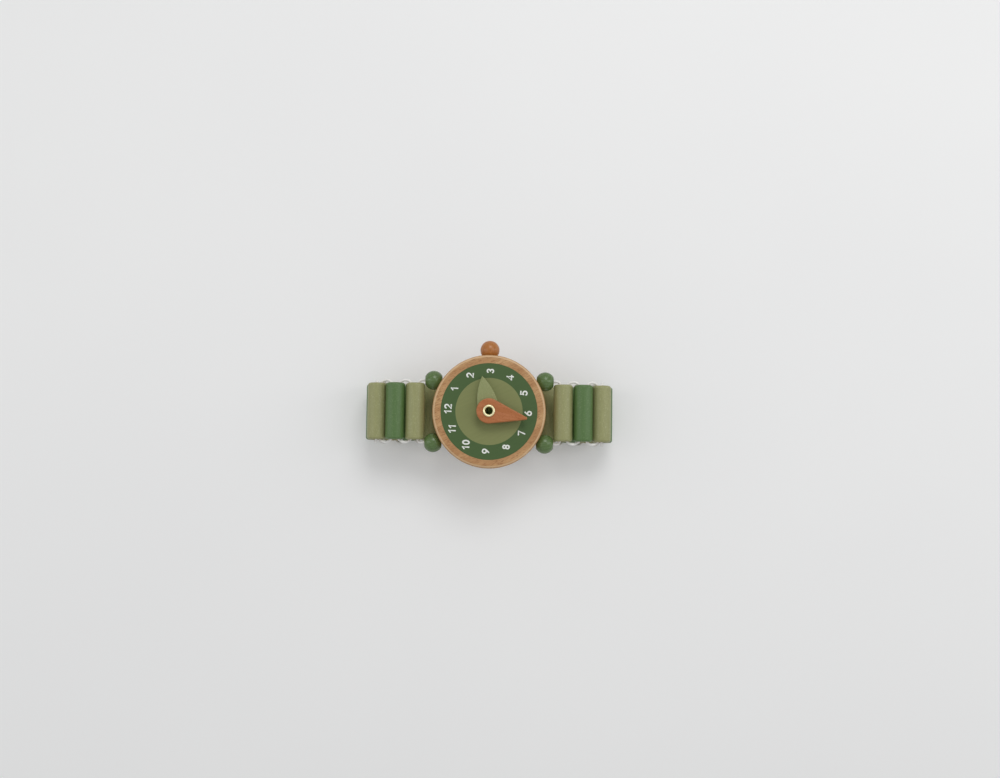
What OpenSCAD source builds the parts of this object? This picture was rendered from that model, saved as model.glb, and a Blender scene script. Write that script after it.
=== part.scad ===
// Wooden toy watch. A round beech case carries a printed dial and two loose wooden hands on a brass
// eyelet, with a ball crown at three o'clock. The bracelet is a loop of painted rods, laced side by
// side by one elastic cord that runs through every rod twice and straight across the case.
// Millimetres. +X is along the bracelet towards six o'clock, +Y is towards the crown and +Z is up out
// of the dial. The watch lies on its bracelet, and the origin is on the table under the hands.

/* [Case] */
// Diameter of the round case
case_d = 40; // [37:0.5:46]
// Thickness of the case
case_t = 10; // [9:0.5:13]
// Rounding of the front and back edges of the case
case_edge_r = 1; // [0.4:0.1:1.2]
// Height of the two cross holes above the back of the case
cross_hole_z = 4.5; // [4:0.1:5]
// Diameter of the two cross holes
cross_hole_d = 2.4; // [1.8:0.1:2.8]

/* [Dial] */
// Diameter of the printed dial
dial_d = 34; // [28:0.5:35]
// Thickness of the printed dial, which is let into the case
dial_t = 0.3; // [0.2:0.05:0.6]

/* [Hands] */
// Length of the hour hand from the axis to its tip
hour_len = 12.6; // [10:0.1:15]
// Greatest width of the leaf-shaped hour hand
hour_w = 7.4; // [6:0.1:8.5]
// Distance from the axis to the widest part of the leaf
hour_leaf_x = 1; // [0.8:0.1:3]
// Direction of the hour hand, counter-clockwise from six o'clock
hour_angle = 101.8; // [0:0.1:360]
// Length of the minute hand from the axis to its tip
minute_len = 13.6; // [11:0.1:16]
// Diameter of the round end of the minute hand
minute_round_d = 8.8; // [7:0.1:10]
// Diameter of the blunt tip of the minute hand
minute_tip_d = 1; // [0.6:0.1:2]
// Direction of the minute hand, counter-clockwise from six o'clock
minute_angle = -10.8; // [-180:0.1:180]
// Thickness of each hand
hand_t = 2; // [1.2:0.1:3]
// Air above and below each hand
hand_gap = 0.15; // [0.1:0.05:0.3]

/* [Eyelet] */
// Hole through the eyelet
eyelet_bore_d = 2.6; // [2:0.1:3]
// Wall of the eyelet's barrel
eyelet_wall = 0.3; // [0.2:0.05:0.5]
// Diameter of the rolled rims at the front and the back
eyelet_rim_d = 4.3; // [4:0.1:5]
// Diameter of the washer under the back rim
washer_d = 6.4; // [5.6:0.1:8]
// Thickness of the washer
washer_t = 0.5; // [0.3:0.1:0.8]
// Depth of the recess for the washer in the back of the case
back_recess = 1.4; // [1.3:0.1:2]
// Running clearance between the barrel and the hands, on the radius
turn_clear = 0.06; // [0.03:0.01:0.1]

/* [Crown] */
// Diameter of the crown ball
crown_d = 6.8; // [5:0.1:8]
// Height of the ball's centre above the flat that it is glued on
crown_rise = 2.5; // [1.2:0.1:2.6]
// Least depth of that flat below the round wall
crown_seat_depth = 0.15; // [0.1:0.05:0.5]
// Diameter of the dowel inside the crown
peg_d = 2.5; // [2:0.1:3]
// Length of the dowel in the case
peg_in_case = 5; // [3:0.1:6]
// Length of the dowel in the ball
peg_in_ball = 3.2; // [2:0.1:4]

/* [Lug beads] */
// Diameter of the four lug beads
bead_d = 6.8; // [5.5:0.1:7.5]
// Length of a bead between the flats at its hole
bead_len = 6; // [4.8:0.1:6.5]
// Hole through a bead
bead_bore_d = 1.8; // [1.4:0.1:2.4]
// Depth to which a bead's seat is cut into the case wall
seat_depth = 0.7; // [0.3:0.05:0.9]

/* [Bracelet] */
// Number of rods, an odd number so that the two colours alternate all round
rod_count = 19; // [17:2:23]
// Diameter of a rod
rod_d = 6.8; // [6:0.1:7.4]
// Length of a rod
rod_len = 20.2; // [17:0.1:24]
// Rounding of a rod's ends
rod_edge_r = 0.9; // [0.3:0.1:0.9]
// Hole through a rod
rod_bore_d = 3.1; // [2.9:0.1:3.4]
// Air between neighbouring rods
rod_gap = 0.35; // [0.3:0.05:0.9]
// Air between a lug bead and the first rod
lug_gap = 0.1; // [0.1:0.05:0.5]
// Number of links over which the bracelet turns back under itself
turn_links = 3; // [3:0.1:4]

/* [Elastic] */
// Diameter of the elastic cord
cord_d = 0.9; // [0.7:0.05:1]
// How far the cord's loops stand out of the rods' ends
loop_rise = 1.4; // [1.1:0.1:1.9]
// How far the cord's axis in the case lies outside the rods' ends
lug_rise = 1; // [0.8:0.1:1.4]
// Bend of the cord from a bead into the first rod
bend_r = 1.4; // [1.2:0.1:1.6]
// Diameter of the knot, hidden in a cross hole
knot_d = 1.7; // [1.5:0.1:1.7]
// Length of the knot
knot_len = 2.6; // [2:0.1:4]

/* [Hidden] */
$fn = 64;
// Clearance of glued and pressed pieces, on the radius
fit_clear = 0.03;
// Clearance round the cord and round a lug bead in its seat
loose_clear = 0.1;
// Air between cord ends that turn on each other inside a rod
seam = 0.02;
// Reach of a cut past the face that it opens
past = 0.1;
// Turn that lines up the seam of a straight cord with the seam of its bends
seam_turn = 90;
// Share of the strands' radius at which they pass each other in the middle of a rod
crossing_share = 0.62;
// Rounding of the knot's ends as a share of its diameter
knot_edge_share = 0.2;

beech = "#b48a5d";
dark_green = "#54784c";
sage = "#8f9267";
orange = "#ab6a42";
brass = "#dfd896";
cord_white = "#eceae4";

// The cord: each strand lies against the wall of the rods' bore
cord_r = cord_d / 2;
rod_r = rod_d / 2;
rod_half = rod_len / 2;
pitch = rod_d + rod_gap;
strand_r = rod_bore_d / 2 - cord_r - loose_clear;
loop_r = pitch / 2 - strand_r;
loop_y = rod_half + loop_rise - loop_r - cord_r;
core_y = loop_y - 2 * cord_d;
cross_r = strand_r * crossing_share;
knot_edge_r = knot_d * knot_edge_share;

// The mouth of a rod's bore is coned to clear the loops
loop_inner_r = loop_r - cord_r;
mouth_depth = rod_half - loop_y;
mouth_r = pitch / 2 - sqrt(loop_inner_r ^ 2 - mouth_depth ^ 2) + loose_clear;
rod_end_r = min(rod_edge_r, rod_r - mouth_r - fit_clear);

// The lug beads sit in dished seats at the mouths of the cross holes
case_r = case_d / 2;
bead_r = bead_d / 2;
lug_y = rod_half + lug_rise;
bead_x = sqrt((case_r + bead_r - seat_depth) ^ 2 - lug_y ^ 2);
first_rod_x = bead_x + bead_len / 2 + lug_gap + rod_r;
bend_x = first_rod_x - strand_r - bend_r;

// Half of the bracelet's loop: links turn from level to level again, the middle rod is below the hands
middle_rod = (rod_count + 1) / 2;
function sum(list, i = 0) = i < len(list) ? list[i] + sum(list, i + 1) : 0;
function link_angle(link, turn_at) = min(180, max(0, 180 * ((link - turn_at) / turn_links + 0.5)));
function end_x(turn_at) =
    first_rod_x + pitch * sum([for (k = [1:middle_rod - 1]) cos(link_angle(k, turn_at))]);
function closing_turn(low, high, steps) =
    let (mid = (low + high) / 2)
    steps == 0 ? mid
        : end_x(mid) > 0 ? closing_turn(low, mid, steps - 1)
        : closing_turn(mid, high, steps - 1);
closing_steps = 50;
turn_at = closing_turn(0, middle_rod, closing_steps);
function link_x(k) = pitch * cos(link_angle(k, turn_at));
function link_drop(k) = pitch * sin(link_angle(k, turn_at));
loop_height = sum([for (k = [1:middle_rod - 1]) link_drop(k)]);
function half_x(k) = first_rod_x + (k > 1 ? sum([for (j = [1:k - 1]) link_x(j)]) : 0);
function half_z(k) = rod_r + loop_height - (k > 1 ? sum([for (j = [1:k - 1]) link_drop(j)]) : 0);

// Axis of rod i, counted from the twelve o'clock side of the case round to the six o'clock side
function from_case(i) = i <= middle_rod ? i : rod_count + 1 - i;
function rod_side(i) = i == middle_rod ? 0 : i < middle_rod ? -1 : 1;
function rod_axis(i) = [rod_side(i) * half_x(from_case(i)), half_z(from_case(i))];
function towards(from, to) = (to - from) / norm(to - from);
function to_previous(i) = i == 1 ? [1, 0] : towards(rod_axis(i), rod_axis(i - 1));
function to_next(i) = i == rod_count ? [-1, 0] : towards(rod_axis(i), rod_axis(i + 1));

// Heights of the case and of what is stacked on the eyelet
cross_z = rod_r + loop_height;
case_z = cross_z - cross_hole_z;
case_top = case_z + case_t;
hour_z = case_top + hand_gap;
minute_z = hour_z + hand_t + hand_gap;
rim_z = minute_z + hand_t + hand_gap;
eyelet_r = eyelet_bore_d / 2 + eyelet_wall;
rim_r = (eyelet_rim_d - eyelet_bore_d) / 4;
rim_mid_r = eyelet_bore_d / 2 + rim_r;
washer_z = case_z + back_recess - washer_t;

// The crown's flat seat is sunk into the round wall, wide enough to clear the ball
crown_seat_r = crown_d / 2 + loose_clear;
crown_seat_y = sqrt(case_r ^ 2 - crown_seat_r ^ 2) - crown_seat_depth;
crown_z = case_z + case_t / 2;

function two_digits(i) = str(i < 10 ? "0" : "", i);
function rod_name(i) = str("strap_rod_", two_digits(i));
function elastic_name(i) = str("elastic_", two_digits(i));
bead_names = ["lug_bead_1", "lug_bead_2", "lug_bead_3", "lug_bead_4"];
bead_sides = [[-1, 1], [1, 1], [-1, -1], [1, -1]];

// Half profile of a round bar or disc with rounded edges
module rounded_profile(r, length, edge) {
    square([r - edge, length]);
    translate([0, edge]) square([r, length - 2 * edge]);
    for (y = [edge, length - edge])
        translate([r - edge, y]) circle(edge);
}

// Things along X through the cross holes' height, and along Y from the crown's flat
module along_x(y) {
    translate([0, y, cross_z]) rotate([0, 90, 0]) children();
}

module from_crown_seat() {
    translate([0, crown_seat_y, crown_z]) rotate([-90, 0, 0]) children();
}

module watch_case() {
    color(beech) difference() {
        translate([0, 0, case_z]) rotate_extrude() rounded_profile(case_r, case_t, case_edge_r);
        translate([0, 0, case_top - dial_t]) cylinder(d = dial_d + 2 * fit_clear, h = dial_t + past);
        translate([0, 0, case_z - past]) cylinder(r = eyelet_r + fit_clear, h = case_t + 2 * past);
        translate([0, 0, case_z - past]) cylinder(d = washer_d + 2 * loose_clear, h = back_recess + past);
        for (side = [-1, 1])
            along_x(side * lug_y) cylinder(d = cross_hole_d, h = case_d, center = true);
        for (side = bead_sides)
            translate([side.x * bead_x, side.y * lug_y, cross_z]) sphere(bead_r + loose_clear);
        from_crown_seat() cylinder(r = crown_seat_r, h = crown_d);
        from_crown_seat() translate([0, 0, -peg_in_case - loose_clear])
            cylinder(r = peg_d / 2 + fit_clear, h = crown_d);
    }
}

module dial_face() {
    color(dark_green) translate([0, 0, case_top - dial_t]) difference() {
        cylinder(d = dial_d, h = dial_t);
        translate([0, 0, -past]) cylinder(r = eyelet_r + turn_clear, h = dial_t + 2 * past);
    }
}

// A hand: a flat outline with the hole for the eyelet, turned to where it points
module hand(angle) {
    rotate(angle) difference() {
        linear_extrude(hand_t) children();
        translate([0, 0, -past]) cylinder(r = eyelet_r + turn_clear, h = hand_t + 2 * past);
    }
}

// A leaf: two arcs that meet in a point, with a round end under the eyelet
module hour_hand() {
    half_w = hour_w / 2;
    reach = hour_len - hour_leaf_x;
    arc_r = (reach ^ 2 + half_w ^ 2) / (2 * half_w);
    color(sage) translate([0, 0, hour_z]) hand(hour_angle) union() {
        intersection() {
            translate([hour_leaf_x, half_w - arc_r]) circle(arc_r);
            translate([hour_leaf_x, arc_r - half_w]) circle(arc_r);
            translate([0, -half_w]) square([hour_len, hour_w]);
        }
        circle(d = hour_w);
    }
}

// A teardrop: a round end drawn out to a blunt tip
module minute_hand() {
    color(orange) translate([0, 0, minute_z]) hand(minute_angle) hull() {
        circle(d = minute_round_d);
        translate([minute_len - minute_tip_d / 2, 0]) circle(d = minute_tip_d);
    }
}

// Half of a rolled rim, with its flat side on the barrel's end
module rolled_rim() {
    translate([rim_mid_r, 0]) intersection() {
        circle(rim_r);
        translate([-rim_r, 0]) square([2 * rim_r, rim_r]);
    }
}

module hand_eyelet() {
    color(brass) rotate_extrude() {
        translate([eyelet_bore_d / 2, washer_z]) square([eyelet_wall, rim_z - washer_z]);
        translate([0, rim_z]) rolled_rim();
        translate([0, washer_z]) mirror([0, 1]) rolled_rim();
    }
}

module back_washer() {
    color(brass) translate([0, 0, washer_z]) difference() {
        cylinder(d = washer_d, h = washer_t);
        translate([0, 0, -past]) cylinder(r = eyelet_r + fit_clear, h = washer_t + 2 * past);
    }
}

module crown_ball() {
    color(orange) from_crown_seat() difference() {
        rotate_extrude() intersection() {
            translate([0, crown_rise]) circle(d = crown_d);
            square([crown_d, crown_rise + crown_d]);
        }
        translate([0, 0, -past]) cylinder(r = peg_d / 2 + fit_clear, h = past + peg_in_ball + loose_clear);
    }
}

module crown_peg() {
    color(beech) from_crown_seat() translate([0, 0, -peg_in_case])
        cylinder(d = peg_d, h = peg_in_case + peg_in_ball);
}

// A ball bead with flats at both ends of its hole
module lug_bead(side) {
    color(dark_green) translate([side.x * bead_x, 0, 0]) along_x(side.y * lug_y)
        rotate_extrude() difference() {
            intersection() {
                circle(bead_r);
                translate([0, -bead_len / 2]) square([bead_r, bead_len]);
            }
            translate([0, -bead_len]) square([bead_bore_d / 2, 2 * bead_len]);
        }
}

// Half profile of a rod: round edges, a bore and a coned mouth at each end
module rod_profile() {
    difference() {
        translate([0, -rod_half]) rounded_profile(rod_r, rod_len, rod_end_r);
        translate([0, -rod_len]) square([rod_bore_d / 2, 2 * rod_len]);
        for (end = [0, 1])
            mirror([0, end]) polygon([
                [0, loop_y],
                [rod_bore_d / 2, loop_y],
                [mouth_r, rod_half],
                [mouth_r, rod_half + past],
                [0, rod_half + past]
            ]);
    }
}

module strap_rod(i) {
    axis = rod_axis(i);
    color(i % 2 == 1 ? sage : dark_green)
        translate([axis.x, 0, axis.y]) rotate([90, 0, 0]) rotate_extrude() rod_profile();
}

// A straight run of cord
module strand(from, to) {
    run = to - from;
    length = norm(run);
    translate(from) rotate([0, acos(run.z / length), atan2(run.y, run.x)]) cylinder(d = cord_d, h = length);
}

// The two strands inside a rod change sides, passing each other in the middle
module crossing_strands(before, after) {
    across = towards(before, after);
    aside = cross_r * [-across.y, across.x];
    reach = core_y + cord_d;
    intersection() {
        for (turn = [-1, 1])
            for (end = [[before, turn], [after, -turn]]) {
                outer = strand_r * end[0] * reach / core_y + turn * aside * (1 - reach / core_y);
                strand(
                    [turn * aside.x, -end[1] * past, turn * aside.y],
                    [outer.x, end[1] * reach, outer.y]
                );
            }
        cube([rod_d, 2 * (core_y - seam), rod_d], center = true);
    }
}

// The loops at both ends that lace a rod to its neighbour, which lies along +X
module lacing() {
    for (end = [0, 1])
        mirror([0, end, 0]) translate([0, loop_y, 0]) {
            translate([pitch / 2, 0, 0]) rotate_extrude(angle = 180) translate([loop_r, 0]) circle(cord_r);
            for (x = [strand_r, pitch - strand_r])
                translate([x, 0, 0]) rotate([90, 0, 0]) cylinder(d = cord_d, h = loop_y - core_y);
        }
}

// The elastic that travels with one rod: its own strands, and its lacing towards the middle rod
module elastic(i) {
    axis = rod_axis(i);
    link = i < middle_rod ? to_next(i) : to_previous(i);
    color(cord_white) translate([axis.x, 0, axis.y]) {
        crossing_strands(to_previous(i), to_next(i));
        if (i != middle_rod) rotate([0, -atan2(link.y, link.x), 0]) lacing();
    }
}

// The elastic that travels with the case: straight through it, and round the beads into the end rods
module elastic_case() {
    color(cord_white) translate([0, 0, cross_z]) {
        for (turn = [0, 180])
            rotate(turn) {
                translate([0, lug_y, 0]) rotate([0, 90, 0]) rotate(seam_turn)
                    cylinder(d = cord_d, h = 2 * bend_x, center = true);
                for (side = [0, 180])
                    rotate([0, side, 0]) translate([bend_x, lug_y - bend_r, 0]) {
                        rotate_extrude(angle = 90) translate([bend_r, 0]) circle(cord_r);
                        translate([bend_r, 0, 0]) rotate([90, 0, 0])
                            cylinder(d = cord_d, h = lug_y - bend_r - core_y);
                    }
            }
        translate([-knot_len / 2, -lug_y, 0]) rotate([0, 90, 0]) rotate_extrude()
            rounded_profile(knot_d / 2, knot_len, knot_edge_r);
    }
}

watch_case();
dial_face();
hour_hand();
minute_hand();
hand_eyelet();
back_washer();
crown_ball();
crown_peg();
for (k = [0:len(bead_names) - 1])
    lug_bead(bead_sides[k]);
for (i = [1:rod_count])
    strap_rod(i);
for (i = [1:rod_count])
    elastic(i);
elastic_case();
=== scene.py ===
# %% [markdown]
# # A wooden toy watch
# This lesson dresses a toy watch for a portrait. The real watch is a handful of turned and sawn wooden
# pieces: a beech disc for the case, two loose hands on a brass eyelet, a ball for the crown, and a
# bracelet of painted rods laced on white elastic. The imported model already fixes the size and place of
# every piece and how it moves, so Blender only gives the pieces their fine shapes and their finishes.

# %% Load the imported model
import math

import bmesh
import bpy
from mathutils import Matrix, Vector


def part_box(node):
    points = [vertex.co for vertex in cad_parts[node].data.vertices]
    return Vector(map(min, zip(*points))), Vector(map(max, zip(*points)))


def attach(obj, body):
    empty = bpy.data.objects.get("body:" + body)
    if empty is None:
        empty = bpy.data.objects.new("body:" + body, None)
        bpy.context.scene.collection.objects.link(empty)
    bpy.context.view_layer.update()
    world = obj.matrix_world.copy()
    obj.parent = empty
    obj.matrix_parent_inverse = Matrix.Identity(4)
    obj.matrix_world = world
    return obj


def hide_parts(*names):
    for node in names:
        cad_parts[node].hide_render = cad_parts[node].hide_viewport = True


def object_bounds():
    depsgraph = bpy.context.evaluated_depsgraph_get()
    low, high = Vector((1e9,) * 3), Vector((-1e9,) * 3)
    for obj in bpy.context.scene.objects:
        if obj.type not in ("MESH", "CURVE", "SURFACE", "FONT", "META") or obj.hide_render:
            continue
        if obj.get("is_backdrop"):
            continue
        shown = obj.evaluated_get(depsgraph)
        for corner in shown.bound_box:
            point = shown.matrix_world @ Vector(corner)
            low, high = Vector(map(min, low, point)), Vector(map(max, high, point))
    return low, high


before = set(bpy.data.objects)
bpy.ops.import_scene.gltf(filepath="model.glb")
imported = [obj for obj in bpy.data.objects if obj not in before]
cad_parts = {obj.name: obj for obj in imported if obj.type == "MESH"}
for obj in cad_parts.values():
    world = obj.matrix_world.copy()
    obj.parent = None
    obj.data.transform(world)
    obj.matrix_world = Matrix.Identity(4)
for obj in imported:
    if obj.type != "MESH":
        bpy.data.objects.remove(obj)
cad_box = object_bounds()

MM = 0.001
scene = bpy.context.scene

# %% [markdown]
# ## The camera
# The watch lies on its bracelet with the dial up, and the portrait looks down on the dial. The lens
# stands a few degrees towards nine o'clock, so a sliver of the case's wall shows on that side, and it is
# rolled by less than a degree. The aim is a little off the watch, which puts the watch where it belongs
# in the picture without any lens shift, so that other views can turn this camera freely.

# %% Camera
IMAGE_W = 1000
IMAGE_H = 778
WATCH_PIXEL = (489.0, 411.4)
MM_PER_PIXEL = 0.351
CAMERA_MM = 420
LEAN_DOWN = math.radians(4)
ROLL = math.radians(0.8)
SENSOR_MM = 36

case_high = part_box("watch_case")[1]
case_top = case_high.z
dial_centre = Vector((0, 0, case_top))

lens_way = Vector((0, -math.sin(LEAN_DOWN), math.cos(LEAN_DOWN)))
picture_up = Vector((0, 1, 0))
picture_right = picture_up.cross(lens_way).normalized()
picture_up = lens_way.cross(picture_right).normalized()
picture_turn = Matrix((picture_right, picture_up, lens_way)).transposed() @ Matrix.Rotation(ROLL, 3, "Z")
shift_right = (IMAGE_W / 2 - WATCH_PIXEL[0]) * MM_PER_PIXEL * MM
shift_up = (WATCH_PIXEL[1] - IMAGE_H / 2) * MM_PER_PIXEL * MM
aim = dial_centre + picture_turn @ Vector((shift_right, shift_up, 0))

lens = bpy.data.cameras.new("portrait_lens")
lens.sensor_fit = "HORIZONTAL"
lens.sensor_width = SENSOR_MM
lens.lens = SENSOR_MM * CAMERA_MM / (IMAGE_W * MM_PER_PIXEL)
lens.clip_start = 0.01
camera = bpy.data.objects.new("portrait_camera", lens)
camera.matrix_world = Matrix.Translation(aim + lens_way * CAMERA_MM * MM) @ picture_turn.to_4x4()
scene.collection.objects.link(camera)
scene.camera = camera
print("lens", round(lens.lens, 1), "mm, camera at", [round(v, 3) for v in camera.location])

# %% [markdown]
# ## Node helper and colours
# Shaders work in linear light, while a paint is easiest to name by its sRGB hex value, so one function
# turns the second into the first. One more function adds a node to any tree, shader or geometry: an input
# is either a plain value or the output of another node.


# %% Helpers for colours and nodes
def linear(hex_colour):
    """sRGB hex to the linear colour that a shader takes."""
    channels = [int(hex_colour[k:k + 2], 16) / 255 for k in (1, 3, 5)]
    return tuple(c / 12.92 if c <= 0.04045 else ((c + 0.055) / 1.055) ** 2.4 for c in channels) + (1.0,)


def add(tree, kind, inputs=None, **settings):
    """Adds one node with its settings, its values and its links."""
    made = tree.nodes.new(kind)
    for name, value in settings.items():
        setattr(made, name, value)
    for key, value in (inputs or {}).items():
        if isinstance(value, bpy.types.NodeSocket):
            tree.links.new(value, made.inputs[key])
        else:
            made.inputs[key].default_value = value
    return made


def new_finish(name):
    """An empty material, its tree and a principled shader that already reaches the output."""
    finish = bpy.data.materials.new(name)
    finish.use_nodes = True
    tree = finish.node_tree
    tree.nodes.clear()
    shader = add(tree, "ShaderNodeBsdfPrincipled")
    add(tree, "ShaderNodeOutputMaterial", {"Surface": shader.outputs["BSDF"]})
    return finish, tree, shader


# a Mix node holds sockets for every kind of data: these are its share, its two colours and its result
MIX_SHARE, MIX_A, MIX_B, MIX_OUT = 0, 6, 7, 2
print("white is", [round(c, 3) for c in linear("#ffffff")])

# %% [markdown]
# ## Floor and light
# A pale sweep and soft light from large panels are all that a small product needs. The main panel stands
# towards three o'clock, so shadows fall towards nine. Two tall panels at the sides draw a soft band along
# each rod. Together with the sky they light a surface to about the colour that it is written in. A studio
# would light the backdrop on its own as well: here the floor and the sky glow a little, but only in rays
# that end in the picture, so that nothing of it lights the watch.


# %% Floor
def in_picture(tree):
    """One on rays that end in the picture, straight or by way of metal or glass, and nought on the rest."""
    ray = add(tree, "ShaderNodeLightPath").outputs
    seen = ray["Is Camera Ray"]
    for kind in ("Is Glossy Ray", "Is Transmission Ray"):
        seen = add(tree, "ShaderNodeMath", {0: seen, 1: ray[kind]}, operation="ADD").outputs[0]
    return seen


FLOOR_HALF = 1.5
FLOOR_GLOW = 0.13
floor_mesh = bpy.data.meshes.new("floor")
corners = [(sx * FLOOR_HALF, sy * FLOOR_HALF, 0) for sx, sy in ((-1, -1), (1, -1), (1, 1), (-1, 1))]
floor_mesh.from_pydata(corners, [], [(0, 1, 2, 3)])
floor = bpy.data.objects.new("floor", floor_mesh)
scene.collection.objects.link(floor)
floor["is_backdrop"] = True

# a faint mottle keeps the large plain area from looking computed
board, tree, shader = new_finish("matt_painted_board")
place = add(tree, "ShaderNodeTexCoord")
mottle = add(tree, "ShaderNodeTexNoise", {"Vector": place.outputs["Object"], "Scale": 6, "Detail": 3})
tone = add(
    tree, "ShaderNodeMix",
    {MIX_SHARE: mottle.outputs["Fac"], MIX_A: linear("#e4e4e4"), MIX_B: linear("#ebebea")},
    data_type="RGBA",
)
tree.links.new(tone.outputs[MIX_OUT], shader.inputs["Base Color"])
shader.inputs["Roughness"].default_value = 0.9
shader.inputs["Specular IOR Level"].default_value = 0.1
glow = add(tree, "ShaderNodeMath", {0: in_picture(tree), 1: FLOOR_GLOW}, operation="MULTIPLY")
tree.links.new(glow.outputs[0], shader.inputs["Emission Strength"])
shader.inputs["Emission Color"].default_value = linear("#fffffc")
floor_mesh.materials.append(board)
print("floor is", 2 * FLOOR_HALF, "m wide")

# %% Lights
SKY_STRENGTH = 0.5
SKY_GLOW = 0.13
scene.view_settings.view_transform = "Standard"
sky = bpy.data.worlds.new("studio_sky")
sky.use_nodes = True
tree = sky.node_tree
backdrop = tree.nodes["Background"].inputs
backdrop["Color"].default_value = linear("#f7f8fa")
level = add(
    tree, "ShaderNodeMath", {0: in_picture(tree), 1: SKY_GLOW, 2: SKY_STRENGTH}, operation="MULTIPLY_ADD"
)
tree.links.new(level.outputs[0], backdrop["Strength"])
scene.world = sky

# name, place in metres, width and height of the panel in metres, watts
PANELS = [
    ("top_panel", (0.10, 0.42, 0.55), 0.35, 0.30, 1.25),
    ("left_panel", (-0.50, 0.05, 0.38), 0.18, 0.60, 0.45),
    ("right_panel", (0.50, 0.10, 0.38), 0.18, 0.60, 0.60),
]
for name, at, width, height, watts in PANELS:
    light = bpy.data.lights.new(name, "AREA")
    light.shape = "RECTANGLE"
    light.size = width
    light.size_y = height
    light.energy = watts
    panel = bpy.data.objects.new(name, light)
    panel.location = at
    panel.rotation_euler = (dial_centre - Vector(at)).to_track_quat("-Z", "Y").to_euler()
    scene.collection.objects.link(panel)
print("lit by", len(PANELS), "panels and the sky")

# %% [markdown]
# ## Beech
# The case is a disc sawn from a beech plank, sanded and oiled. Beech is even and warm, with broad pale
# growth bands and many short dark flecks that all run along the grain. Object coordinates hold real
# metres here, so a Mapping node in texture mode takes the size of a fleck in millimetres as it is.
# Because the pattern is a solid field, the flecks run through the disc: they are dashes on its face and dots
# where the grain ends on its wall. The rounded edge of the face is painted paler than the rest, partly for
# wear from hands and partly as a painted highlight where that edge catches light; the distance from the axis
# finds it.

# %% Wood grain
GRAIN_TURN = math.radians(24)
FLECK_MM = (2.0, 0.34, 0.30)
case_turn = (0, 0, GRAIN_TURN)


def grain_field(tree, size_mm, turn, detail=2.0):
    """Noise whose patches have that size along the grain, across it and through it."""
    place = add(tree, "ShaderNodeTexCoord")
    spread = add(
        tree, "ShaderNodeMapping",
        {"Vector": place.outputs["Object"], "Rotation": turn, "Scale": tuple(v * MM for v in size_mm)},
        vector_type="TEXTURE",
    )
    noise = add(
        tree, "ShaderNodeTexNoise", {"Vector": spread.outputs["Vector"], "Scale": 1.0, "Detail": detail}
    )
    return noise.outputs["Fac"]


def bare_beech(tree, turn):
    """The colour of sanded beech: pale bands, then flecks and pores over them."""
    tone = linear("#b38455")
    # size of a patch in mm, the noise values between which it fades in, its colour
    for size_mm, low, high, colour in (
        ((40, 3.2, 9), 0.35, 0.65, "#caa06f"),
        (FLECK_MM, 0.54, 0.66, "#9f7045"),
        ((1.0, 0.20, 0.18), 0.60, 0.70, "#8f623b"),
    ):
        patch = add(
            tree, "ShaderNodeMapRange",
            {"Value": grain_field(tree, size_mm, turn), "From Min": low, "From Max": high},
        )
        layer = add(
            tree, "ShaderNodeMix", {MIX_SHARE: patch.outputs["Result"], MIX_A: tone, MIX_B: linear(colour)},
            data_type="RGBA",
        )
        tone = layer.outputs[MIX_OUT]
    return tone


# %% Oiled beech of the case
EDGE_R = 19.45
EDGE_HALF_W = 0.16
EDGE_FADE = 0.2
EDGE_SHARE = 0.75

beech, tree, shader = new_finish("oiled_beech")
place = add(tree, "ShaderNodeTexCoord")
across = add(tree, "ShaderNodeVectorMath", {0: place.outputs["Object"], 1: (1, 1, 0)}, operation="MULTIPLY")
radius = add(tree, "ShaderNodeVectorMath", {0: across.outputs["Vector"]}, operation="LENGTH").outputs["Value"]
beside = add(tree, "ShaderNodeMath", {0: radius, 1: EDGE_R * MM}, operation="SUBTRACT").outputs[0]
beside = add(tree, "ShaderNodeMath", {0: beside}, operation="ABSOLUTE").outputs[0]
# pale ring on the rounded edge: wear from hands, and a painted highlight where the edge catches light
edge_wear_and_highlight = add(
    tree, "ShaderNodeMapRange",
    {"Value": beside, "From Min": EDGE_HALF_W * MM, "From Max": (EDGE_HALF_W + EDGE_FADE) * MM,
     "To Min": EDGE_SHARE, "To Max": 0},
)
tone = add(
    tree, "ShaderNodeMix",
    {MIX_SHARE: edge_wear_and_highlight.outputs["Result"], MIX_A: bare_beech(tree, case_turn), MIX_B: linear("#dcbc92")},
    data_type="RGBA",
)
tree.links.new(tone.outputs[MIX_OUT], shader.inputs["Base Color"])
fleck = grain_field(tree, FLECK_MM, case_turn)
sheen = add(tree, "ShaderNodeMapRange", {"Value": fleck, "To Min": 0.40, "To Max": 0.58})
tree.links.new(sheen.outputs["Result"], shader.inputs["Roughness"])
shader.inputs["IOR"].default_value = 1.47
pores = add(tree, "ShaderNodeBump", {"Height": fleck, "Distance": 0.03 * MM, "Strength": 0.35})
tree.links.new(pores.outputs["Normal"], shader.inputs["Normal"])
for name in ("watch_case", "crown_peg"):
    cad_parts[name].data.materials.clear()
    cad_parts[name].data.materials.append(beech)
print("beech on a case of", round(case_high.x * 2 / MM, 2), "mm")

# %% [markdown]
# ## Paint on wood
# The rods, beads, hands and crown are beech too, tumbled or dipped in water-based paint. The coat is
# satin and thin: the grain still telegraphs through as faint streaks, it carries specks, and it wears
# pale on edges. Where a piece has bare wood, as in a bore, its mesh says so with an attribute named
# paint, from 0 to 1.


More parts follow.
